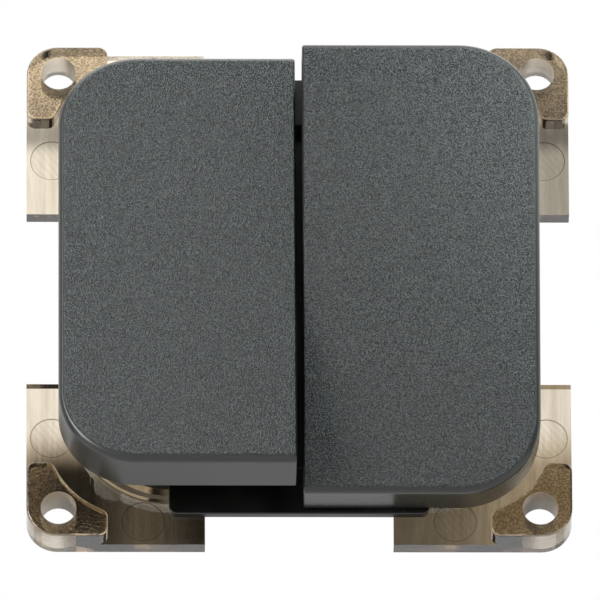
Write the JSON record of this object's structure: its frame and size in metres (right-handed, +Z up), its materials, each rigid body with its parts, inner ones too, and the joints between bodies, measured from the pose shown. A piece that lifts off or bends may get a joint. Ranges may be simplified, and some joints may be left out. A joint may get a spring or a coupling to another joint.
{
  "type": "double rocker switch insert",
  "caption": "Double rocker switch insert: two maintained rockers side by side on a see-through four-ear screw plate, with a change-over mechanism and push-on tabs behind.",
  "frame": {"origin": "centre of the four screw holes, on the rear face of the mounting frame's flange, which lies on the panel", "axes": "+Z up, +X to the right, the rockers face -Y and the terminals point to +Y"},
  "size_m": [0.0544, 0.0393, 0.054],
  "materials": {
    "smoky_plastic": "see-through, smoky brown, lightly textured bosses",
    "grained_cap": "fine spark-eroded grain, satin sides",
    "black_plastic": "moulded, half gloss",
    "base_plastic": "moulded, matt",
    "carrier_plastic": "moulded, matt",
    "plunger_plastic": "natural acetal",
    "spring_steel": "drawn wire",
    "terminal_brass": "stamped brass",
    "blade_bronze": "stamped bronze",
    "contact_silver": "silver rivet"
  },
  "bodies": {
    "switch": {"mounting_frame": "smoky_plastic", "mechanism_housing": "black_plastic", "contact_base": "base_plastic", "left_common_terminal": "terminal_brass", "left_upper_terminal": "terminal_brass", "left_lower_terminal": "terminal_brass", "left_upper_fixed_contact": "contact_silver", "left_lower_fixed_contact": "contact_silver", "right_common_terminal": "terminal_brass", "right_upper_terminal": "terminal_brass", "right_lower_terminal": "terminal_brass", "right_upper_fixed_contact": "contact_silver", "right_lower_fixed_contact": "contact_silver"},
    "left_rocker": {"left_rocker_cap": "grained_cap", "left_rocker_carrier": "carrier_plastic", "left_plunger_spring": "spring_steel"},
    "left_plunger_body": {"left_plunger": "plunger_plastic"},
    "left_blade": {"left_contact_blade": "blade_bronze", "left_blade_contacts": "contact_silver"},
    "right_rocker": {"right_rocker_cap": "grained_cap", "right_rocker_carrier": "carrier_plastic", "right_plunger_spring": "spring_steel"},
    "right_plunger_body": {"right_plunger": "plunger_plastic"},
    "right_blade": {"right_contact_blade": "blade_bronze", "right_blade_contacts": "contact_silver"}
  },
  "joints": [
    {"name": "left_rocker_rock", "type": "hinge", "parent": "switch", "child": "left_rocker", "pos_m": [-0.01218, -0.00575, 0], "axis": [1, 0, 0], "range_deg": [0, 13]},
    {"name": "left_plunger_slide", "type": "slide", "parent": "left_rocker", "child": "left_plunger_body", "axis": [0, -0.9936, 0.1132], "range_m": [0, 0.0008], "stiffness_N_per_m": 600, "springref_m": -0.0015, "deforming": ["left_plunger_spring"]},
    {"name": "left_blade_rock", "type": "hinge", "parent": "switch", "child": "left_blade", "pos_m": [-0.01218, 0.00695, 0], "axis": [1, 0, 0], "range_deg": [-16, 0]},
    {"name": "right_rocker_rock", "type": "hinge", "parent": "switch", "child": "right_rocker", "pos_m": [0.01218, -0.00575, 0], "axis": [1, 0, 0], "range_deg": [-13, 0]},
    {"name": "right_plunger_slide", "type": "slide", "parent": "right_rocker", "child": "right_plunger_body", "axis": [0, -0.9936, -0.1132], "range_m": [0, 0.0008], "stiffness_N_per_m": 600, "springref_m": -0.0015, "deforming": ["right_plunger_spring"]},
    {"name": "right_blade_rock", "type": "hinge", "parent": "switch", "child": "right_blade", "pos_m": [0.01218, 0.00695, 0], "axis": [1, 0, 0], "range_deg": [0, 16]}
  ],
  "couplings": [
    {"joint": "left_blade_rock", "follows": "left_rocker_rock", "ratio": -1.2308},
    {"joint": "right_blade_rock", "follows": "right_rocker_rock", "ratio": -1.2308}
  ]
}
